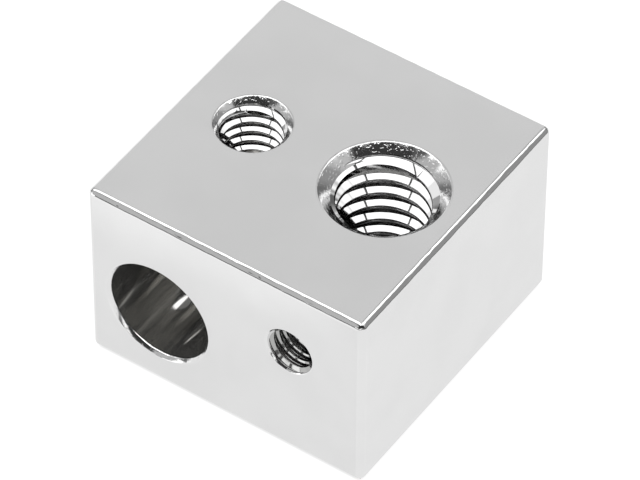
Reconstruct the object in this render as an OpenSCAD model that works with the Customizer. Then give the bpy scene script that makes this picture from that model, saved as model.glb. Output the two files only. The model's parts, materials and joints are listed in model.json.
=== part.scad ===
// Heater block of a 3D printer hot end, machined from one piece of aluminium.
// The origin is the centre of the base. The front face, with the heater bore, looks along -Y.

/* [Block] */
// Width of the block, left to right
body_w = 17.5; // [16.5:0.1:24]
// Depth of the block, front to back
body_d = 17.8; // [14:0.1:26]
// Height of the block
body_h = 12; // [10.5:0.1:16]
// Width of the chamfer along each outer edge
edge_chamfer = 0.3; // [0.1:0.05:0.6]

/* [Heater bore] */
// Diameter of the heater cartridge
cartridge_d = 6; // [4:0.1:6.4]
// Clearance of the bore on the cartridge's diameter
cartridge_gap = 0.2; // [0.05:0.05:0.4]
// Distance of the bore's axis from the left face
heater_edge = 4.4; // [4.2:0.1:4.8]
// Height of the bore's axis above the base
heater_up = 5.1; // [4.2:0.1:6]
// Width of the chamfer at the bore's two mouths
heater_chamfer = 0.25; // [0.1:0.05:0.5]

/* [Nozzle hole] */
// Outer diameter of the nozzle thread
nozzle_d = 6; // [4:0.5:6.5]
// Pitch of the nozzle thread
nozzle_pitch = 1; // [0.5:0.05:1.25]
// Distance of the nozzle hole's axis from the right face
nozzle_edge = 4.7; // [4.2:0.1:5.2]
// How far the countersinks stand out past the thread, all round
nozzle_sink = 0.55; // [0.1:0.05:0.7]

/* [Set screw hole] */
// Outer diameter of the set screw thread, over the heater bore
setscrew_d = 4; // [2:0.5:5]
// Pitch of the set screw thread
setscrew_pitch = 0.7; // [0.4:0.05:0.8]
// How far the countersink stands out past the thread, all round
setscrew_sink = 0.15; // [0.05:0.05:0.6]

/* [Sensor hole] */
// Outer diameter of the sensor's screw thread
sensor_d = 3; // [2:0.5:4]
// Pitch of the sensor's screw thread
sensor_pitch = 0.5; // [0.4:0.05:0.7]
// Distance of the sensor hole's axis from the right face
sensor_edge = 4.65; // [4:0.05:5.4]
// Height of the sensor hole's axis above the base
sensor_up = 7.4; // [4:0.1:8]
// How far the countersink stands out past the thread, all round
sensor_sink = 0.05; // [0.05:0.05:0.5]
// Wall left between the drill's point and the nozzle thread
sensor_wall = 1; // [0.5:0.1:2]

/* [Hidden] */
$fn = 96;
// Angle of a twist drill's point
drill_point = 118;
// How far a cutting tool runs past the face that it enters
overrun = 0.2;

heater_r = (cartridge_d + cartridge_gap) / 2;
heater_x = heater_edge - body_w / 2;
nozzle_x = body_w / 2 - nozzle_edge;
sensor_x = body_w / 2 - sensor_edge;
sensor_r = tapping_r(sensor_d, sensor_pitch);
sensor_depth = body_d / 2 - nozzle_d / 2 - sensor_wall - point_length(sensor_r);

// Radius of the hole that is drilled before the thread is cut
function tapping_r(thread_d, pitch) = (thread_d - pitch) / 2;

// Length of the cone that a drill leaves at the bottom of its hole
function point_length(r) = r / tan(drill_point / 2);

// Outline of a rectangle a by b about the origin, with its corners cut off at 45 degrees
function cut_rectangle(a, b, cut) = let (x = a / 2, y = b / 2) [
    [x - cut, -y], [x, cut - y], [x, y - cut], [x - cut, y],
    [cut - x, y], [-x, y - cut], [-x, cut - y], [cut - x, -y]
];

module chamfered_bar(a, b, length) {
    linear_extrude(height = length, center = true)
        polygon(cut_rectangle(a, b, edge_chamfer));
}

// The blank: what three bars, one along each axis, have in common, chamfered on all twelve edges
module blank() {
    translate([0, 0, body_h / 2])
        intersection() {
            chamfered_bar(body_w, body_d, body_h);
            rotate([90, 0, 0]) chamfered_bar(body_w, body_h, body_d);
            rotate([90, 0, 90]) chamfered_bar(body_d, body_h, body_w);
        }
}

// Cutter for a hole right through, its mouths opened to rim_r at 45 degrees. It stands on the lower mouth.
module through_cutter(r, rim_r, length) {
    sink = rim_r - r;
    rotate_extrude()
        polygon([
            [0, -overrun], [rim_r + overrun, -overrun], [r, sink],
            [r, length - sink], [rim_r + overrun, length + overrun], [0, length + overrun]
        ]);
}

// Cutter for a hole that ends in the metal or in another hole. Its mouth is at the origin, and it hangs down.
module blind_cutter(r, rim_r, depth) {
    sink = rim_r - r;
    rotate_extrude()
        polygon([
            [0, overrun], [rim_r + overrun, overrun], [r, -sink],
            [r, -depth], [0, -depth - point_length(r)]
        ]);
}

// Bore for the heater cartridge, front to back
module heater_cutter() {
    translate([heater_x, body_d / 2, heater_up])
        rotate([90, 0, 0]) through_cutter(heater_r, heater_r + heater_chamfer, body_d);
}

// Tapped hole for the nozzle from below and the throat from above
module nozzle_cutter() {
    translate([nozzle_x, 0, 0])
        through_cutter(tapping_r(nozzle_d, nozzle_pitch), nozzle_d / 2 + nozzle_sink, body_h);
}

// Tapped hole from the top down into the heater bore, for the screw that holds the cartridge
module setscrew_cutter() {
    translate([heater_x, 0, body_h])
        blind_cutter(
            tapping_r(setscrew_d, setscrew_pitch), setscrew_d / 2 + setscrew_sink, body_h - heater_up
        );
}

// Blind tapped hole in the front face for the temperature sensor's screw
module sensor_cutter() {
    translate([sensor_x, -body_d / 2, sensor_up])
        rotate([90, 0, 0]) blind_cutter(sensor_r, sensor_d / 2 + sensor_sink, sensor_depth);
}

module heater_block() {
    color("silver")
        difference() {
            blank();
            heater_cutter();
            nozzle_cutter();
            setscrew_cutter();
            sensor_cutter();
        }
}

heater_block();
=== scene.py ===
"""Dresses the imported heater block: rounded edges, countersinks, cut threads, finishes and a small studio.

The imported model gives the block's size and the place of every hole. The block is built again in
millimetres around them, with its screw threads and its broken edges, scaled to metres and set in
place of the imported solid.
"""

import json
import logging
import math
from dataclasses import dataclass
from enum import Enum

import bmesh
import bpy
from mathutils import Matrix, Vector, noise

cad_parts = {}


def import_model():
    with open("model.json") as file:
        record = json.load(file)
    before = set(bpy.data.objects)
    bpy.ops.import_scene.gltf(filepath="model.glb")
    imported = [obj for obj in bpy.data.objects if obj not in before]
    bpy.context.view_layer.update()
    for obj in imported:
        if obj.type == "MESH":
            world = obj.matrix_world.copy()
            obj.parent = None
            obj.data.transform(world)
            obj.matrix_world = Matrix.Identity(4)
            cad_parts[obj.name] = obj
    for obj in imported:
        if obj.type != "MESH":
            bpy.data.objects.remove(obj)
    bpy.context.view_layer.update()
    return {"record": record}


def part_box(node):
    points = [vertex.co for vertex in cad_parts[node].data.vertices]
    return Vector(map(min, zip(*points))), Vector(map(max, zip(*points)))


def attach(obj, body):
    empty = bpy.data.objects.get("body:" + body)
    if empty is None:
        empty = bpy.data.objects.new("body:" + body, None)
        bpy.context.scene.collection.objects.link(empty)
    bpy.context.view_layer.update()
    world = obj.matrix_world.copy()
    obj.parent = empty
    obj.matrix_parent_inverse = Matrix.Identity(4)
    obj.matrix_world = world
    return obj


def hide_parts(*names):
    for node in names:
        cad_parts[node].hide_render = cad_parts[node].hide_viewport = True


LOG = logging.getLogger("heater_block")
MM = 0.001
NODE = "heater_block"

# Millimetres within which points are one, in a turned profile and in any other mesh.
FINE_WELD = 1e-5
WELD = 1e-4
# Millimetres within which a point lies on a cutting plane.
ON_PLANE = 1e-6
# Largest rise of the normal of an upright face, and smallest rise of one that leaves an overhang.
UPRIGHT = 0.05
OVERHANG = 0.3
# Smallest share of one axis in the normal of a flat face of the block.
FLAT = 0.9999
# Slope of a countersink, half the angle between a thread's flanks, and half that of a drill's point.
CONE = math.radians(45)
FLANK = math.radians(60 / 2)
DRILL_POINT = math.radians(118 / 2)
# Noise values between which the clouds of a finish change, and those at which a speck starts and ends.
CLOUD_EDGE = (0.35, 0.65)
SPECK_EDGE = (0.56, 0.7)
# Shares of the fine grain and of the clouds in the roughness.
GRAIN_SHARE = 0.4
CLOUD_SHARE = 0.6
# Width of the photograph in pixels, and of the camera's film in millimetres.
PICTURE_WIDTH = 640
FILM_WIDTH = 36


class Zone(Enum):
    """The parts of the surface, in the order of the block's material slots."""

    SIDE = 0
    FACE = 1
    EDGE = 2
    SINK = 3
    THREAD = 4
    BORE = 5
    # Painted shade: the sensor thread is darker than the other threads, for the shade deep in its hole.
    DEEP = 6
    # Painted shade: the downward-facing flanks of the nozzle and set screw threads are coloured dark for
    # the shade under each crest.
    UNDER = 7


class Region(Enum):
    """How a panel of the studio sky is laid out: around the horizon, or on the ceiling."""

    AROUND = "around"
    CEILING = "ceiling"


@dataclass(frozen=True)
class Hole:
    """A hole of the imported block.

    Attributes:
        centre: A point on the hole's axis, in millimetres.
        radius: Radius of the plain hole, in millimetres.
    """

    centre: Vector
    radius: float


@dataclass(frozen=True)
class Plan:
    """The block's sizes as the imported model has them, in millimetres.

    Attributes:
        low: Lowest corner of the block.
        high: Highest corner of the block.
        holes: The holes by the names of their mounts.
    """

    low: Vector
    high: Vector
    holes: dict[str, Hole]

    @classmethod
    def read(cls, record: dict) -> "Plan":
        """Reads the plan from the frame.

        Args:
            record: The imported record.

        Returns:
            The plan in millimetres.
        """
        low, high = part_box(NODE)
        holes = {
            mount["name"]: Hole(Vector(mount["pos_m"]) / MM, mount["dims"]["r_mm"])
            for mount in record["mounts"]
            if "r_mm" in mount["dims"]
        }
        return cls(low / MM, high / MM, holes)

    @property
    def size(self) -> Vector:
        """Width, depth and height of the block."""
        return self.high - self.low

    @property
    def centre(self) -> Vector:
        """Middle of the block."""
        return (self.low + self.high) / 2


def revolve(profile: list[tuple[float, float]], steps: int) -> bmesh.types.BMesh:
    """Turns a profile about the Z axis into a closed solid.

    Args:
        profile: Radius and height of each point, from the axis at the bottom to the axis at the top.
        steps: Number of steps in the turn.

    Returns:
        The solid, with its faces outwards.
    """
    bm = bmesh.new()
    points = [bm.verts.new((radius, 0, height)) for radius, height in profile]
    edges = [bm.edges.new(pair) for pair in zip(points, points[1:])]
    bmesh.ops.spin(
        bm,
        geom=points + edges,
        cent=(0, 0, 0),
        axis=(0, 0, 1),
        angle=math.tau,
        steps=steps,
        use_merge=True,
        use_duplicate=False,
    )
    bmesh.ops.remove_doubles(bm, verts=bm.verts, dist=FINE_WELD)
    bmesh.ops.recalc_face_normals(bm, faces=bm.faces)
    return bm


def place(bm: bmesh.types.BMesh, matrix: Matrix) -> bmesh.types.BMesh:
    """Moves a cutter to its place.

    Args:
        bm: The cutter, about the Z axis.
        matrix: Where it goes.

    Returns:
        The same cutter.
    """
    bmesh.ops.transform(bm, matrix=matrix, verts=bm.verts)
    return bm


def mark(bm: bmesh.types.BMesh, wall: Zone, slope: Zone, under: Zone | None = None) -> bmesh.types.BMesh:
    """Marks a cutter's faces with the zones that they leave on the block.

    Args:
        bm: The cutter, about the Z axis.
        wall: The zone of its upright faces.
        slope: The zone of its other faces.
        under: The zone of those that leave an overhang, where it is another one.

    Returns:
        The same cutter.
    """
    bm.normal_update()
    for face in bm.faces:
        rise = face.normal.z
        zone = under if under and rise > OVERHANG else slope
        face.material_index = (wall if abs(rise) < UPRIGHT else zone).value
    return bm


def gather(parts: list[bmesh.types.BMesh]) -> bmesh.types.BMesh:
    """Puts several solids in one mesh and frees them.

    Args:
        parts: The solids.

    Returns:
        One mesh with all of them.
    """
    whole = bmesh.new()
    for part in parts:
        carrier = bpy.data.meshes.new("carrier")
        part.to_mesh(carrier)
        part.free()
        whole.from_mesh(carrier)
        bpy.data.meshes.remove(carrier)
    return whole


def to_object(bm: bmesh.types.BMesh, name: str) -> bpy.types.Object:
    """Makes an object of a mesh, with one empty material slot for each zone.

    Args:
        bm: The mesh, which is freed.
        name: Name of the object.

    Returns:
        The linked object.
    """
    mesh = bpy.data.meshes.new(name)
    bm.to_mesh(mesh)
    bm.free()
    for _ in Zone:
        mesh.materials.append(None)
    item = bpy.data.objects.new(name, mesh)
    bpy.context.scene.collection.objects.link(item)
    return item


def cut_away(body: bpy.types.Object, cutter: bpy.types.Object) -> None:
    """Takes a cutter out of a body for good and removes the cutter.

    Args:
        body: The object that is cut.
        cutter: The closed solids that are taken away.
    """
    cut = body.modifiers.new("cut", "BOOLEAN")
    cut.operation = "DIFFERENCE"
    cut.solver = "EXACT"
    cut.material_mode = "INDEX"
    cut.object = cutter
    settle(body)
    spent = cutter.data
    bpy.data.objects.remove(cutter)
    bpy.data.meshes.remove(spent)


def settle(item: bpy.types.Object) -> None:
    """Applies an object's modifiers to its mesh.

    Args:
        item: The object, whose old mesh is removed.
    """
    bpy.context.view_layer.update()
    graph = bpy.context.evaluated_depsgraph_get()
    made = bpy.data.meshes.new_from_object(item.evaluated_get(graph), depsgraph=graph)
    old = item.data
    item.modifiers.clear()
    item.data = made
    made.name = item.name
    bpy.data.meshes.remove(old)


@dataclass(frozen=True)
class Countersink:
    """The turned mouth of a hole: a 45 degree cone with a rounded rim and a lip inside it.

    Attributes:
        rim: Radius where the cone would meet the face, in millimetres.
        flare: Width of the rounding at the rim.
        lip: Radius where the cone ends and the lip starts: a rounding into a plain hole, or a
            flatter ring that runs into a thread.
        drop: Height of the straight wall between the cone and that ring.
        ring: Slope of the ring, in degrees.
        throat: Radius where the ring gives way to a worn taper, or 0 where it reaches the thread.
        taper: Slope of the taper, in degrees from the axis.
        inset: How far inside a thread's crests the cutter ends.
        over: How far the cutter stands out of the face.
        sides: Number of steps around.
        rim_steps: Number of steps in the rounding at the rim.
        lip_steps: Number of steps in the rounding into a plain hole.
    """

    rim: float
    flare: float
    lip: float
    drop: float = 0
    ring: float = 33
    throat: float = 0
    taper: float = 21
    inset: float = 0
    over: float = 0.3
    sides: int = 144
    rim_steps: int = 4
    lip_steps: int = 5

    def outer(self) -> list[tuple[float, float]]:
        """Draws the rounding at the rim, from the cone to above a face at height 0.

        Returns:
            Radius and height of each point, from the cone outwards.
        """
        bend = self.flare / math.tan(CONE / 2)
        middle = self.rim + self.flare
        half_step = 0.5
        arc = []
        for step in range(self.rim_steps + 1):
            angle = CONE * (1 - (step + half_step) / (self.rim_steps + half_step))
            arc.append((middle - bend * math.sin(angle), -bend * (1 - math.cos(angle))))
        slope = math.tan(CONE * half_step / (self.rim_steps + half_step))
        reach = self.over / 2
        arc.append((arc[-1][0] + reach, arc[-1][1] + reach * slope))
        arc.append((arc[-1][0], self.over))
        return arc

    def fall(self, radius: float) -> float:
        """Height of the cone at a radius, for a face at height 0."""
        return radius - self.rim

    def bored(self, radius: float) -> list[tuple[float, float]]:
        """Draws the mouth of a plain hole, rounded into its wall.

        Args:
            radius: Radius of the hole.

        Returns:
            Radius and height of each point, from the wall outwards.
        """
        bend = (self.lip - radius) / (1 - math.cos(CONE))
        side = bend * math.sin(CONE)
        arc = []
        for step in range(self.lip_steps + 1):
            angle = CONE * step / self.lip_steps
            out = bend * (1 - math.cos(angle))
            arc.append((radius + out, self.fall(self.lip) - side + bend * math.sin(angle)))
        return arc + self.outer()

    def tapped(self, radius: float) -> bmesh.types.BMesh:
        """Makes the mouth of a tapped hole as a closed solid, for a face at height 0.

        Args:
            radius: Radius of the thread's crests.

        Returns:
            The solid, with the ring marked as thread and the rest as countersink.
        """
        core = radius - self.inset
        deep = self.fall(self.lip)
        wall = [(self.lip, deep - self.drop)] if self.drop else []
        inner = self.throat or core
        end = deep - self.drop - (self.lip - inner) * math.tan(math.radians(self.ring))
        neck = [(inner, end)] if self.throat else []
        end -= (inner - core) / math.tan(math.radians(self.taper))
        outer = self.outer()
        profile = [(0, end), (core, end), *neck, *wall, (self.lip, deep), *outer, (0, outer[-1][1])]
        bm = revolve(profile, self.sides)
        for face in bm.faces:
            inside = face.calc_center_median().z < deep
            face.material_index = (Zone.THREAD if inside else Zone.SINK).value
        return bm


@dataclass(frozen=True)
class Tap:
    """A screw tap whose solid leaves a cut thread behind.

    Attributes:
        minor: Radius of the thread's crests, in millimetres.
        pitch: Rise in one turn.
        crest: Width of the flat crest.
        root: Width of the flat root.
        soft: Size of the rounding at the crests.
        sides: Number of steps in a turn.
        root_soft: Size of the rounding at the roots, as a share of the flat root.
        bends: Number of steps in a rounding.
        spare_below: Number of turns made below the start and cut off again.
        spare: Number of turns made beyond the tap's height in all.
    """

    minor: float
    pitch: float
    crest: float
    root: float
    soft: float
    sides: int = 120
    root_soft: float = 0.4
    bends: int = 3
    spare_below: int = 1
    spare: int = 3

    @property
    def major(self) -> float:
        """Radius of the thread's roots."""
        return self.minor + self.flank / math.tan(FLANK)

    @property
    def flank(self) -> float:
        """Height of a flank."""
        return (self.pitch - self.crest - self.root) / 2

    def profile(self, bm: bmesh.types.BMesh) -> None:
        """Draws one pitch of the thread, from the middle of a crest to the next.

        Args:
            bm: The mesh that takes the profile.
        """
        crest_end = self.crest / 2
        root_start = crest_end + self.flank
        heights = [0, crest_end, root_start, self.pitch - root_start, self.pitch - crest_end, self.pitch]
        radii = [self.minor, self.minor, self.major, self.major, self.minor, self.minor]
        points = [bm.verts.new((radius, 0, height)) for radius, height in zip(radii, heights)]
        for pair in zip(points, points[1:]):
            bm.edges.new(pair)
        crests, roots = [points[1], points[4]], [points[2], points[3]]
        for corners, offset in ((crests, self.soft), (roots, self.root * self.root_soft)):
            bmesh.ops.bevel(
                bm,
                geom=corners,
                offset=offset,
                offset_type="OFFSET",
                segments=self.bends,
                profile=0.5,
                affect="VERTICES",
                material=-1,
            )

    def cutter(self, low: float, high: float, crest_height: float, toward: float) -> bmesh.types.BMesh:
        """Makes the tap as a closed solid about the Z axis.

        Args:
            low: Height at which the tap starts.
            high: Height at which it ends.
            crest_height: Height of a crest.
            toward: Angle about Z, in radians, at which the crest has that height.

        Returns:
            The solid, cut flat at both ends.
        """
        bm = bmesh.new()
        self.profile(bm)
        bmesh.ops.spin(
            bm,
            geom=bm.verts[:] + bm.edges[:],
            cent=(0, 0, 0),
            axis=(0, 0, 1),
            dvec=(0, 0, self.pitch / self.sides),
            angle=math.tau,
            steps=self.sides,
            use_merge=False,
            use_duplicate=False,
        )
        bottom = crest_height - self.pitch * toward / math.tau
        start = math.floor((low - bottom) / self.pitch) - self.spare_below
        turns = math.ceil((high - low) / self.pitch) + self.spare
        bmesh.ops.translate(bm, vec=(0, 0, bottom + start * self.pitch), verts=bm.verts)
        coil = bm.verts[:] + bm.edges[:] + bm.faces[:]
        for turn in range(1, turns):
            copy = bmesh.ops.duplicate(bm, geom=coil)["geom"]
            verts = [item for item in copy if isinstance(item, bmesh.types.BMVert)]
            bmesh.ops.translate(bm, vec=(0, 0, turn * self.pitch), verts=verts)
        bmesh.ops.remove_doubles(bm, verts=bm.verts, dist=WELD)
        for height, normal in ((low, (0, 0, -1)), (high, (0, 0, 1))):
            cut = bmesh.ops.bisect_plane(
                bm,
                geom=bm.verts[:] + bm.edges[:] + bm.faces[:],
                dist=ON_PLANE,
                plane_co=(0, 0, height),
                plane_no=normal,
                clear_outer=True,
            )["geom_cut"]
            rim = [item for item in cut if isinstance(item, bmesh.types.BMEdge)]
            bmesh.ops.edgeloop_fill(bm, edges=rim)
        bmesh.ops.recalc_face_normals(bm, faces=bm.faces)
        return bm


@dataclass(frozen=True)
class Nick:
    """A small dent in an edge.

    Attributes:
        place: Where it is, in millimetres.
        reach: Half its length.
        depth: Its depth.
    """

    place: tuple[float, float, float]
    reach: float
    depth: float

    def at(self, point: Vector) -> float:
        """How deep the dent is at a point."""
        away = (point - Vector(self.place)).length / self.reach
        return self.depth * max(0, 1 - away * away)


@dataclass
class HeaterBlock:
    """The block itself: a sawn and ground bar with one drilled bore and three tapped holes.

    Attributes:
        plan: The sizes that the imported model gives.
        chamfer: Width of the broken edges along each face, in millimetres.
        blend: Rounding between a face and its chamfer.
        blend_steps: Number of steps in that rounding.
        edge_cuts: Number of cuts across each long edge.
        wander: How far the hand-broken edges wander.
        waves: Waves of the wander: how tight each is, per millimetre, and its share.
        lean: How soon the wander sets in as a surface tilts up from the upright.
        nicks: Small dents in the edges.
        bore_mouth: Countersink of the heater bore.
        nozzle_mouth: Countersinks of the nozzle hole.
        setscrew_mouth: Countersink of the set screw hole.
        sensor_mouth: Countersink of the sensor screw hole.
        nozzle_tap: Thread of the nozzle hole.
        setscrew_tap: Thread of the set screw hole.
        sensor_tap: Thread of the sensor screw hole.
        nozzle_crest: Height of a crest of the nozzle thread on the far wall.
        setscrew_crest: Height of a crest of the set screw thread on the far wall.
        sensor_crest: Height of a crest of the sensor thread above the front face.
        view_side: Angle about Z, in radians, of the far wall.
        tap_over: How far a tap stands out of the face.
        setscrew_end: Height above the bore's axis at which the set screw's tap ends.
        sensor_short: How far the sensor's tap ends above the shoulder of the drill point.
        sensor_wall: Wall between the sensor hole's drill point and the nozzle thread.
        nozzle_major: Nominal radius of the nozzle thread.
        drill_play: How much thinner the drill's end is than the sensor thread's core.
        drill_reach: Height of the drill's end above the shoulder of its point.
        corner: Angle, in degrees, from which an edge is shaded sharp.
        face_pull: How much the large faces draw the shading to their own direction.
    """

    plan: Plan
    chamfer: float = 0.257
    blend: float = 0.11
    blend_steps: int = 6
    edge_cuts: int = 84
    wander: float = 0.03
    waves: tuple[tuple[float, float], ...] = ((0.9, 1), (3.1, 0.5))
    lean: float = 2
    nicks: tuple[Nick, ...] = (
        Nick((2.2, -8.9, 12.0), 0.22, 0.05),
        Nick((-6.8, -8.9, 12.0), 0.25, 0.04),
        Nick((8.75, 2.9, 12.0), 0.22, 0.04),
    )
    bore_mouth: Countersink = Countersink(3.32, 0.06, 3.16, sides=180)
    nozzle_mouth: Countersink = Countersink(3.52, 0.085, 2.85, ring=30, throat=2.64, inset=0.08)
    setscrew_mouth: Countersink = Countersink(
        2.15, 0.07, 1.83, drop=0.37, ring=45, throat=1.765, inset=0.06
    )
    sensor_mouth: Countersink = Countersink(1.5, 0.04, 1.4, inset=0.05)
    nozzle_tap: Tap = Tap(2.5, 1.0, 0.2, 0.165, 0.06, 144)
    setscrew_tap: Tap = Tap(1.65, 0.7, 0.13, 0.14, 0.04, 120)
    sensor_tap: Tap = Tap(1.25, 0.5, 0.12, 0.08, 0.03, 96)
    nozzle_crest: float = 10.97
    setscrew_crest: float = 11.09
    sensor_crest: float = -0.3
    view_side: float = math.radians(124.24)
    tap_over: float = 0.2
    setscrew_end: float = 1
    sensor_short: float = 0.5
    sensor_wall: float = 1.0
    nozzle_major: float = 3.0
    drill_play: float = 0.012
    drill_reach: float = 1
    corner: float = 38
    face_pull: int = 80

    def blank(self) -> bmesh.types.BMesh:
        """Makes the bar before drilling, with chamfered, rounded and slightly uneven edges.

        Returns:
            The bar, with its faces marked as sides, faces and edges.
        """
        bm = bmesh.new()
        bmesh.ops.create_cube(bm, size=1)
        bmesh.ops.scale(bm, vec=self.plan.size, verts=bm.verts)
        bmesh.ops.translate(bm, vec=self.plan.centre, verts=bm.verts)
        for offset, segments in ((self.chamfer, 1), (self.blend, self.blend_steps)):
            bmesh.ops.bevel(
                bm,
                geom=bm.edges[:],
                offset=offset,
                offset_type="OFFSET",
                segments=segments,
                profile=0.5,
                affect="EDGES",
                material=-1,
            )
        long_edges = [edge for edge in bm.edges if edge.calc_length() > self.plan.size.z / 2]
        bmesh.ops.subdivide_edges(bm, edges=long_edges, cuts=self.edge_cuts, use_grid_fill=True)
        flats = []
        for face in bm.faces:
            straight = max(abs(value) for value in face.normal)
            if straight > FLAT:
                level = abs(face.normal.z) > FLAT
                face.material_index = (Zone.FACE if level else Zone.SIDE).value
                flats.append(face)
            else:
                face.material_index = Zone.EDGE.value
        kept = {vert for face in flats for vert in face.verts}
        bmesh.ops.dissolve_faces(bm, faces=flats)
        bm.normal_update()
        full_slant = 1 - math.sqrt(0.5)
        for vert in bm.verts:
            if vert not in kept:
                steep = (1 - max(abs(value) for value in vert.normal)) / full_slant
                steep *= min(1, self.lean * abs(vert.normal.z))
                amount = sum(share * abs(noise.noise(vert.co * tight)) for tight, share in self.waves)
                dent = sum(nick.at(vert.co) for nick in self.nicks)
                vert.co -= vert.normal * steep * (amount * self.wander + dent)
        return bm

    def turned_cutters(self) -> bmesh.types.BMesh:
        """Makes everything that a drill or countersink takes out.

        Returns:
            One mesh with all the solids, each in its place.
        """
        low, high = self.plan.low, self.plan.high
        holes = self.plan.holes
        to_top = Matrix.Translation((0, 0, high.z))
        to_bottom = Matrix.Translation((0, 0, low.z)) @ Matrix.Rotation(math.pi, 4, "X")
        to_front = Matrix.Translation((0, low.y, 0)) @ Matrix.Rotation(math.pi / 2, 4, "X")
        parts = []
        nozzle = holes["nozzle_thread"]
        axis = Matrix.Translation((nozzle.centre.x, nozzle.centre.y, 0))
        for face in (to_top, to_bottom):
            parts.append(place(self.nozzle_mouth.tapped(nozzle.radius), axis @ face))
        screw = holes["setscrew_thread"]
        axis = Matrix.Translation((screw.centre.x, screw.centre.y, 0))
        parts.append(place(self.setscrew_mouth.tapped(screw.radius), axis @ to_top))
        sensor = holes["sensor_thread"]
        axis = Matrix.Translation((sensor.centre.x, 0, sensor.centre.z))
        parts.append(place(self.sensor_mouth.tapped(sensor.radius), axis @ to_front))
        parts.append(place(mark(self.drill_end(), Zone.BORE, Zone.BORE), axis @ to_front))
        bore = holes["heater_bore"]
        axis = Matrix.Translation((bore.centre.x, 0, bore.centre.z))
        parts.append(place(mark(self.bore_cutter(bore.radius), Zone.BORE, Zone.SINK), axis @ to_front))
        return gather(parts)

    def bore_cutter(self, radius: float) -> bmesh.types.BMesh:
        """Makes the heater bore with both its mouths, for a front face at height 0.

        Args:
            radius: Radius of the bore.

        Returns:
            The solid.
        """
        depth = self.plan.size.y
        near = self.bore_mouth.bored(radius)
        far = [(point, -depth - height) for point, height in reversed(near)]
        return revolve([(0, far[0][1]), *far, *near, (0, near[-1][1])], self.bore_mouth.sides)

    def drill_end(self) -> bmesh.types.BMesh:
        """Makes the end of the sensor hole's tapping drill, for a front face at height 0.

        Returns:
            The solid.
        """
        radius = self.plan.holes["sensor_thread"].radius - self.drill_play
        point = radius / math.tan(DRILL_POINT)
        depth = self.sensor_depth
        top = -depth + self.drill_reach
        profile = [(0, -depth - point), (radius, -depth), (radius, top), (0, top)]
        return revolve(profile, self.sensor_tap.sides)

    @property
    def sensor_depth(self) -> float:
        """Finds the depth of the sensor hole.

        Returns:
            Its full depth to the shoulder of its drill point, in millimetres.
        """
        nozzle, sensor = self.plan.holes["nozzle_thread"], self.plan.holes["sensor_thread"]
        point = sensor.radius / math.tan(DRILL_POINT)
        return nozzle.centre.y - self.nozzle_major - self.plan.low.y - self.sensor_wall - point

    def taps(self) -> bmesh.types.BMesh:
        """Makes the three screw taps.

        Returns:
            One mesh with all the taps, each in its place.
        """
        low, high = self.plan.low, self.plan.high
        holes = self.plan.holes
        nozzle, screw, sensor = (holes[f"{name}_thread"] for name in ("nozzle", "setscrew", "sensor"))
        bore = holes["heater_bore"]
        over = self.tap_over
        nozzle_tap = self.nozzle_tap.cutter(
            low.z - over, high.z + over, self.nozzle_crest, self.view_side
        )
        screw_tap = self.setscrew_tap.cutter(
            bore.centre.z + self.setscrew_end, high.z + over, self.setscrew_crest, self.view_side
        )
        sensor_tap = self.sensor_tap.cutter(
            -self.sensor_depth + self.sensor_short, over, self.sensor_crest, 0
        )
        to_front = Matrix.Rotation(math.pi / 2, 4, "X")
        parts = [
            place(nozzle_tap, Matrix.Translation((nozzle.centre.x, nozzle.centre.y, 0))),
            place(screw_tap, Matrix.Translation((screw.centre.x, screw.centre.y, 0))),
            place(sensor_tap, Matrix.Translation((sensor.centre.x, low.y, sensor.centre.z)) @ to_front),
        ]
        # The flanks facing down get the dark UNDER finish, a painted shade under each crest.
        for part in parts[:2]:
            mark(part, Zone.THREAD, Zone.THREAD, Zone.UNDER)
        # The sensor thread gets the darker DEEP finish, a painted shade deep in its hole.
        mark(parts[2], Zone.DEEP, Zone.DEEP)
        return gather(parts)

    def build(self) -> bpy.types.Object:
        """Builds the finished block.

        Returns:
            The block, in metres, at its place.
        """
        block = to_object(self.blank(), "heater_block_finished")
        cut_away(block, to_object(self.taps(), "taps"))
        cut_away(block, to_object(self.turned_cutters(), "drills"))
        bm = bmesh.new()
        bm.from_mesh(block.data)
        bmesh.ops.remove_doubles(bm, verts=bm.verts, dist=WELD)
        bmesh.ops.dissolve_degenerate(bm, edges=bm.edges, dist=WELD)
        bmesh.ops.triangulate(bm, faces=bm.faces[:], quad_method="BEAUTY", ngon_method="BEAUTY")
        corner = math.radians(self.corner)
        lip = {Zone.SINK.value, Zone.THREAD.value}
        for face in bm.faces:
            face.smooth = True
        for edge in bm.edges:
            at_lip = {face.material_index for face in edge.link_faces} == lip
            edge.smooth = edge.is_manifold and not at_lip and edge.calc_face_angle(0) < corner
        open_edges = sum(not edge.is_manifold for edge in bm.edges)
        LOG.info("open edges: %d, triangles: %d", open_edges, len(bm.faces))
        bmesh.ops.scale(bm, vec=(MM, MM, MM), verts=bm.verts)
        bm.to_mesh(block.data)
        bm.free()
        even = block.modifiers.new("even_shading", "WEIGHTED_NORMAL")
        even.keep_sharp = True
        even.weight = self.face_pull
        settle(block)
        self.flatten_shading(block.data)
        return block

    @staticmethod
    def flatten_shading(mesh: bpy.types.Mesh) -> None:
        """Gives every corner that touches a flat face of the block that face's own direction.

        Args:
            mesh: The block's mesh, whose shading is changed.
        """
        straight = {}
        for face in mesh.polygons:
            if face.material_index in (Zone.SIDE.value, Zone.FACE.value):
                for vert in face.vertices:
                    straight[vert] = face.normal.copy()
        mesh.normals_split_custom_set(
            [
                straight.get(loop.vertex_index, corner.vector)
                for loop, corner in zip(mesh.loops, mesh.corner_normals)
            ]
        )


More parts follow.
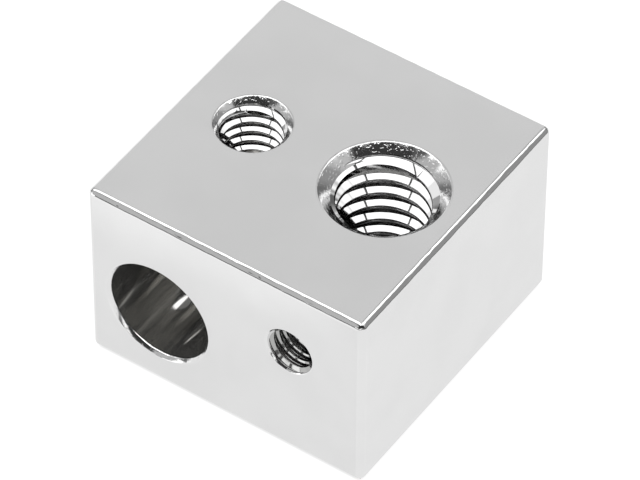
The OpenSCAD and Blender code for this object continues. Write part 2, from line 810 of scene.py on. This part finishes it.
class Nodes:
    """A small helper that adds and joins shader nodes."""

    def __init__(self, tree: bpy.types.NodeTree) -> None:
        """Empties the tree and keeps it.

        Args:
            tree: The node tree that is filled.
        """
        self.tree = tree
        tree.nodes.clear()

    def add(self, kind: str, inputs: dict | None = None, **options: object) -> bpy.types.Node:
        """Adds a node.

        Args:
            kind: The node's type, without its Shader prefix.
            inputs: Values or output sockets for its inputs, by name or number.
            **options: The node's own settings.

        Returns:
            The node.
        """
        node = self.tree.nodes.new("ShaderNode" + kind)
        for name, value in options.items():
            setattr(node, name, value)
        for name, value in (inputs or {}).items():
            if isinstance(value, bpy.types.NodeSocket):
                self.tree.links.new(value, node.inputs[name])
            else:
                node.inputs[name].default_value = value
        return node

    def math(self, operation: str, *values: object) -> bpy.types.NodeSocket:
        """Adds a Math node.

        Args:
            operation: What it works out.
            *values: Numbers or output sockets for its inputs.

        Returns:
            Its result.
        """
        inputs = dict(enumerate(values))
        return self.add("Math", inputs, operation=operation).outputs[0]

    def step(
        self, value: object, start: float, end: float, low: float = 0, high: float = 1
    ) -> bpy.types.NodeSocket:
        """Adds a smooth step.

        Args:
            value: The output socket that is read.
            start: Value at which the step starts.
            end: Value at which it ends.
            low: Result before the step.
            high: Result after it.

        Returns:
            The result.
        """
        inputs = {"Value": value, "From Min": start, "From Max": end, "To Min": low, "To Max": high}
        return self.add("MapRange", inputs, interpolation_type="SMOOTHSTEP").outputs[0]

    def between(self, value: object, low: float, high: float, soft: float) -> bpy.types.NodeSocket:
        """Adds a mask that is 1 where a value lies in a span, and 0 elsewhere.

        Args:
            value: The output socket that is read.
            low: Start of the span.
            high: End of the span.
            soft: Half the width of its borders.

        Returns:
            The mask.
        """
        rise = self.step(value, low - soft, low + soft)
        fall = self.step(value, high - soft, high + soft, 1, 0)
        return self.math("MULTIPLY", rise, fall)

    def mix(self, amount: object, first: object, second: object) -> bpy.types.NodeSocket:
        """Mixes two colours.

        Args:
            amount: Share of the second.
            first: First colour, or an output socket.
            second: Second colour, or an output socket.

        Returns:
            The mixed colour.
        """
        inputs = {"Factor": amount, 6: first, 7: second}
        return self.add("Mix", inputs, data_type="RGBA").outputs[2]

    def blur(self, amount: object, first: object, second: object) -> bpy.types.NodeSocket:
        """Mixes two numbers.

        Args:
            amount: Share of the second.
            first: First number, or an output socket.
            second: Second number, or an output socket.

        Returns:
            The mixed number.
        """
        return self.add("Mix", {0: amount, 2: first, 3: second}, data_type="FLOAT").outputs[0]


@dataclass(frozen=True)
class MetalFinish:
    """A machined aluminium surface.

    Attributes:
        name: Name of the material.
        colour: Colour of the bare metal.
        roughness: Roughness where it is smoothest and where it is dullest.
        bare: Share of clean metal, the rest being a dull film.
        lay: How far the tool marks are stretched along X, Y and Z.
        lay_depth: Depth of the tool marks, in millimetres.
        lay_scale: Number of tool marks in a millimetre.
        grain_depth: Depth of the fine grain, in millimetres.
        grain_scale: Number of grains in a millimetre.
        cloud: How much soft clouds change the colour.
        cloud_scale: Number of clouds in a millimetre.
        speck_depth: Depth of the sparse specks that a tool leaves, in millimetres.
        speck_scale: Number of speck cells in a millimetre.
    """

    name: str
    colour: tuple[float, float, float]
    roughness: tuple[float, float]
    bare: float = 1
    lay: tuple[float, float, float] = (1, 1, 1)
    lay_depth: float = 0.0005
    lay_scale: float = 4
    grain_depth: float = 0.0003
    grain_scale: float = 14
    cloud: float = 0.03
    cloud_scale: float = 0.22
    speck_depth: float = 0
    speck_scale: float = 6

    def material(self) -> bpy.types.Material:
        """Makes the material.

        Returns:
            The material, with its patterns on Object coordinates.
        """
        material = bpy.data.materials.new(self.name)
        material.use_nodes = True
        nodes = Nodes(material.node_tree)
        place_of = nodes.add("TexCoord").outputs["Object"]
        laid = nodes.add("Mapping", {"Vector": place_of, "Scale": self.lay}).outputs[0]
        marks = nodes.add(
            "TexNoise",
            {"Vector": laid, "Scale": self.lay_scale / MM, "Detail": 3, "Roughness": 0.6},
        ).outputs[0]
        grain = nodes.add(
            "TexNoise",
            {"Vector": place_of, "Scale": self.grain_scale / MM, "Detail": 2, "Roughness": 0.5},
        ).outputs[0]
        clouds = nodes.add(
            "TexNoise",
            {"Vector": place_of, "Scale": self.cloud_scale / MM, "Detail": 3, "Roughness": 0.55},
        ).outputs[0]
        cloudy = nodes.math("MULTIPLY", clouds, CLOUD_SHARE)
        dull = nodes.math("MULTIPLY_ADD", grain, GRAIN_SHARE, cloudy)
        smooth, rough = self.roughness
        roughness = nodes.step(dull, *CLOUD_EDGE, smooth, rough)
        shade = nodes.step(clouds, *CLOUD_EDGE, 1 - self.cloud, 1)
        colour = nodes.mix(shade, (0, 0, 0, 1), (*self.colour, 1))
        first = nodes.add(
            "Bump", {"Height": marks, "Distance": self.lay_depth * MM, "Strength": 1}
        ).outputs[0]
        second = nodes.add(
            "Bump", {"Height": grain, "Distance": self.grain_depth * MM, "Strength": 1, "Normal": first}
        ).outputs[0]
        if self.speck_depth:
            spots = nodes.add(
                "TexNoise",
                {"Vector": place_of, "Scale": self.speck_scale / MM, "Detail": 1, "Roughness": 0.5},
            ).outputs[0]
            specks = nodes.step(spots, *SPECK_EDGE)
            second = nodes.add(
                "Bump",
                {"Height": specks, "Distance": self.speck_depth * MM, "Strength": 1, "Normal": second},
            ).outputs[0]
        shader = nodes.add(
            "BsdfPrincipled",
            {"Base Color": colour, "Metallic": self.bare, "Roughness": roughness, "Normal": second},
        ).outputs[0]
        nodes.add("OutputMaterial", {"Surface": shader})
        return material


FINISHES = {
    Zone.SIDE: MetalFinish("ground_side", (0.675, 0.675, 0.675), (0.06, 0.12), grain_depth=0.0001),
    Zone.FACE: MetalFinish(
        "satin_face", (0.79, 0.79, 0.79), (0.17, 0.2), lay_depth=0.0003, grain_depth=0.0009, cloud=0.025
    ),
    Zone.EDGE: MetalFinish("broken_edge", (0.7, 0.7, 0.7), (0.05, 0.1), grain_depth=0.0003),
    Zone.SINK: MetalFinish(
        "turned_sink", (0.69, 0.69, 0.69), (0.07, 0.13), grain_depth=0.0018, speck_depth=0.0035
    ),
    Zone.THREAD: MetalFinish("cut_thread", (0.55, 0.55, 0.55), (0.03, 0.06), grain_depth=0.0001),
    Zone.BORE: MetalFinish(
        "drilled_bore",
        (0.55, 0.545, 0.53),
        (0.065, 0.09),
        bare=0.9,
        lay=(1, 0.03, 1),
        lay_depth=0.0001,
        lay_scale=2,
        grain_depth=0.00003,
    ),
    # Painted shade: a darker finish for the whole sensor thread, for the shade deep in its hole.
    Zone.DEEP: MetalFinish("deep_thread_painted_shade", (0.38, 0.38, 0.375), (0.06, 0.12), grain_depth=0.0004),
    # Painted shade: a dark finish on the downward-facing thread flanks, standing in for the shade under
    # each crest.
    Zone.UNDER: MetalFinish("painted_shade_flank", (0.2, 0.2, 0.195), (0.06, 0.12), grain_depth=0.0003),
}


@dataclass(frozen=True)
class SkyPanel:
    """One area of the studio sky, as seen from the block.

    The angles are counted from the photograph's side of the block, to the right.

    Attributes:
        region: Around the horizon, in degrees of azimuth and elevation, or on the ceiling, in
            distances to the right and away as shares of its height.
        across: Its span to the right.
        along: Its span upwards, or away on the ceiling.
        light: How bright it is.
        soft: Softness of its border.
    """

    region: Region
    across: tuple[float, float]
    along: tuple[float, float]
    light: float
    soft: float


@dataclass
class Studio:
    """A pale floor under a soft tent of light, and the photograph's camera.

    Attributes:
        azimuth: Direction from the block to the camera, in degrees to the right of the front.
        elevation: Height of the camera above the horizon, in degrees.
        roll: Turn of the camera about its view, in degrees.
        eye: Place of the camera, in millimetres.
        focal: Focal length, in pixels of the photograph.
        clip: Nearest and farthest distance that the camera sees, in metres.
        floor_radius: Radius of the floor, in metres.
        floor_sides: Number of its sides.
        floor_grey: Share of light that the floor scatters.
        floor_gap: How far the floor lies below the block, in millimetres.
        floor_glow: Brightness of the glowing floor, which a painted shadow darkens under the block.
        front_painted_light: Brightness of a painted pool of light on the floor to the left in front of the
            block.
        front_across: Where that light starts and is full to the left, in millimetres from the middle.
        front_ahead: Where it starts and is full to the front, in millimetres from the front face.
        shade_glow: Brightness of the painted shadow on the floor under the block.
        shade_soft: Softness of that painted shadow's border, in millimetres.
        horizon: Smallest rise at which a direction is laid out on the ceiling.
        sky: Brightness of the tent by elevation in degrees.
        panels: What differs from that, in order.
    """

    azimuth: float = 34.23915
    elevation: float = 46.4684
    roll: float = 0.34029
    eye: tuple[float, float, float] = (113.18576, -166.32614, 217.45172)
    focal: float = 5475.0
    clip: tuple[float, float] = (0.01, 20)
    floor_radius: float = 3
    floor_sides: int = 96
    floor_grey: float = 0.12
    floor_gap: float = 0.02
    floor_glow: float = 0.99
    front_painted_light: float = 1.13
    front_across: tuple[float, float] = (3, -4)
    front_ahead: tuple[float, float] = (6, 9)
    shade_glow: float = 0.1
    shade_soft: float = 0.3
    horizon: float = 0.01
    sky: tuple[tuple[float, float], ...] = ((0, 0.7), (30, 0.92), (50, 0.71))
    panels: tuple[SkyPanel, ...] = (
        SkyPanel(Region.AROUND, (-148, 148), (-20, 36), 0.2, 6),
        SkyPanel(Region.AROUND, (-100, 100), (38, 70), 0.12, 3),
        SkyPanel(Region.AROUND, (-140, -75), (14, 41), 0.6, 4),
        SkyPanel(Region.AROUND, (-78, -45), (19, 37.5), 0.645, 1.5),
        SkyPanel(Region.AROUND, (-95, -63), (1, 15), 2.2, 1),
        SkyPanel(Region.AROUND, (-56, -32), (11, 19), 2.0, 0.7),
        SkyPanel(Region.AROUND, (60, 130), (12, 27), 0.38, 4),
        SkyPanel(Region.AROUND, (64, 130), (27, 45), 0.7, 3),
        SkyPanel(Region.AROUND, (-52, 58), (20, 66), 0.05, 2),
        SkyPanel(Region.AROUND, (-25, 25), (9, 19), 1.4, 1),
        SkyPanel(Region.CEILING, (-1.35, -0.86), (-0.17, 0.42), 2.2, 0.01),
        SkyPanel(Region.CEILING, (-0.88, -0.7), (-0.31, 0.42), 2.2, 0.01),
        SkyPanel(Region.CEILING, (-0.74, -0.607), (-0.47, 0.42), 2.2, 0.006),
        SkyPanel(Region.CEILING, (-2.1, -1.3), (0.3, 1.3), 1.5, 0.05),
        SkyPanel(Region.CEILING, (1.5, 2.0), (0.9, 1.5), 1.4, 0.12),
        SkyPanel(Region.CEILING, (1.22, 1.7), (0.4, 1.1), 1.8, 0.12),
        SkyPanel(Region.CEILING, (0.9, 1.42), (-0.04, 0.6), 2.0, 0.1),
        SkyPanel(Region.CEILING, (0.2, 0.74), (0.44, 0.61), 0.25, 0.02),
        SkyPanel(Region.CEILING, (0.62, 1.04), (-0.42, 0.47), 2.2, 0.012),
        SkyPanel(Region.CEILING, (-0.556, 0.563), (-0.63, 0.34), 2.4, 0.006),
        SkyPanel(Region.CEILING, (-0.2, 0.36), (-0.12, 0.38), 0.75, 0.04),
        SkyPanel(Region.CEILING, (0.48, 0.8), (0.34, 0.5), 2.4, 0.012),
    )

    def floor(self) -> bpy.types.Object:
        """Makes the pale floor, with a painted shadow under the block and a painted pool of light in front
        of it.

        Returns:
            The floor, staged.
        """
        bm = bmesh.new()
        below = Matrix.Translation((0, 0, -self.floor_gap * MM))
        bmesh.ops.create_circle(
            bm, cap_ends=True, segments=self.floor_sides, radius=self.floor_radius, matrix=below
        )
        mesh = bpy.data.meshes.new("floor")
        bm.to_mesh(mesh)
        bm.free()
        item = bpy.data.objects.new("floor", mesh)
        bpy.context.scene.collection.objects.link(item)
        material = bpy.data.materials.new("pale_floor")
        material.use_nodes = True
        nodes = Nodes(material.node_tree)
        grey = (self.floor_grey, self.floor_grey, self.floor_grey, 1)
        matt = nodes.add("BsdfDiffuse", {"Color": grey}).outputs[0]
        low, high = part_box(NODE)
        soft = self.shade_soft * MM
        spot = nodes.add("SeparateXYZ", {0: nodes.add("TexCoord").outputs["Object"]}).outputs
        # Painted shadow: the floor's glow drops to shade_glow inside the block's footprint, with a soft
        # border.
        under = nodes.math(
            "MULTIPLY",
            nodes.between(spot[0], low.x + soft, high.x - soft, soft),
            nodes.between(spot[1], low.y + soft, high.y - soft, soft),
        )
        # Painted pool of light: a brighter patch of floor to the left in front of the block.
        painted_light_pool = nodes.math(
            "MULTIPLY",
            nodes.step(spot[0], *(across * MM for across in self.front_across)),
            nodes.step(spot[1], *(low.y - away * MM for away in self.front_ahead)),
        )
        lit = nodes.blur(painted_light_pool, self.floor_glow, self.front_painted_light)
        strength = nodes.blur(under, lit, self.shade_glow)
        glow = nodes.add("Emission", {"Color": (1, 1, 1, 1), "Strength": strength}).outputs[0]
        both = nodes.add("AddShader", {0: matt, 1: glow}).outputs[0]
        nodes.add("OutputMaterial", {"Surface": both})
        mesh.materials.append(material)
        return item

    def tent(self) -> None:
        """Sets the light around the block, panel by panel."""
        world = bpy.data.worlds.new("light_tent")
        bpy.context.scene.world = world
        world.use_nodes = True
        nodes = Nodes(world.node_tree)
        direction = nodes.add("TexCoord").outputs["Generated"]
        turned = nodes.add(
            "VectorRotate",
            {"Vector": direction, "Axis": (0, 0, 1), "Angle": -math.radians(self.azimuth)},
            rotation_type="AXIS_ANGLE",
        ).outputs[0]
        split = nodes.add("SeparateXYZ", {0: turned})
        right, away, up = split.outputs
        toward = nodes.math("MULTIPLY", away, -1.0)
        to_degrees = 180 / math.pi
        around = nodes.math("MULTIPLY", nodes.math("ARCTAN2", right, toward), to_degrees)
        height = nodes.math("MULTIPLY", nodes.math("ARCSINE", up), to_degrees)
        high = nodes.math("MAXIMUM", up, self.horizon)
        ceiling_right = nodes.math("DIVIDE", right, high)
        ceiling_away = nodes.math("DIVIDE", away, high)
        light = self.sky[0][1]
        for (start, _), (end, value) in zip(self.sky, self.sky[1:]):
            light = nodes.blur(nodes.step(height, start, end), light, value)
        for panel in self.panels:
            flat = panel.region is Region.CEILING
            first, second = (ceiling_right, ceiling_away) if flat else (around, height)
            mask = nodes.math(
                "MULTIPLY",
                nodes.between(first, *panel.across, panel.soft),
                nodes.between(second, *panel.along, panel.soft),
            )
            light = nodes.blur(mask, light, panel.light)
        background = nodes.add("Background", {"Color": (1, 1, 1, 1), "Strength": light}).outputs[0]
        nodes.add("OutputWorld", {"Surface": background})

    def camera(self) -> bpy.types.Object:
        """Places the camera at the photograph's angle.

        Returns:
            The camera.
        """
        data = bpy.data.cameras.new("camera")
        data.sensor_width = FILM_WIDTH
        data.lens = self.focal / PICTURE_WIDTH * FILM_WIDTH
        data.clip_start, data.clip_end = self.clip
        item = bpy.data.objects.new("camera", data)
        bpy.context.scene.collection.objects.link(item)
        item.matrix_world = (
            Matrix.Translation(Vector(self.eye) * MM)
            @ Matrix.Rotation(math.radians(self.azimuth), 4, "Z")
            @ Matrix.Rotation(math.radians(90 - self.elevation), 4, "X")
            @ Matrix.Rotation(math.radians(self.roll), 4, "Z")
        )
        bpy.context.scene.camera = item
        return item

    def build(self) -> None:
        """Sets up floor, light, camera and the way the picture is shown."""
        self.floor()
        self.tent()
        self.camera()
        bpy.context.scene.view_settings.view_transform = "Standard"


def main() -> None:
    """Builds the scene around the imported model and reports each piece."""
    logging.basicConfig(level=logging.INFO, format="%(name)s: %(message)s")
    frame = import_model()
    plan = Plan.read(frame["record"])
    Studio().build()
    block = HeaterBlock(plan).build()
    for zone in Zone:
        block.data.materials[zone.value] = FINISHES[zone].material()
    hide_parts(NODE)
    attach(block, "root")
    LOG.info("%s: %d faces", block.name, len(block.data.polygons))


if __name__ == "__main__":
    main()
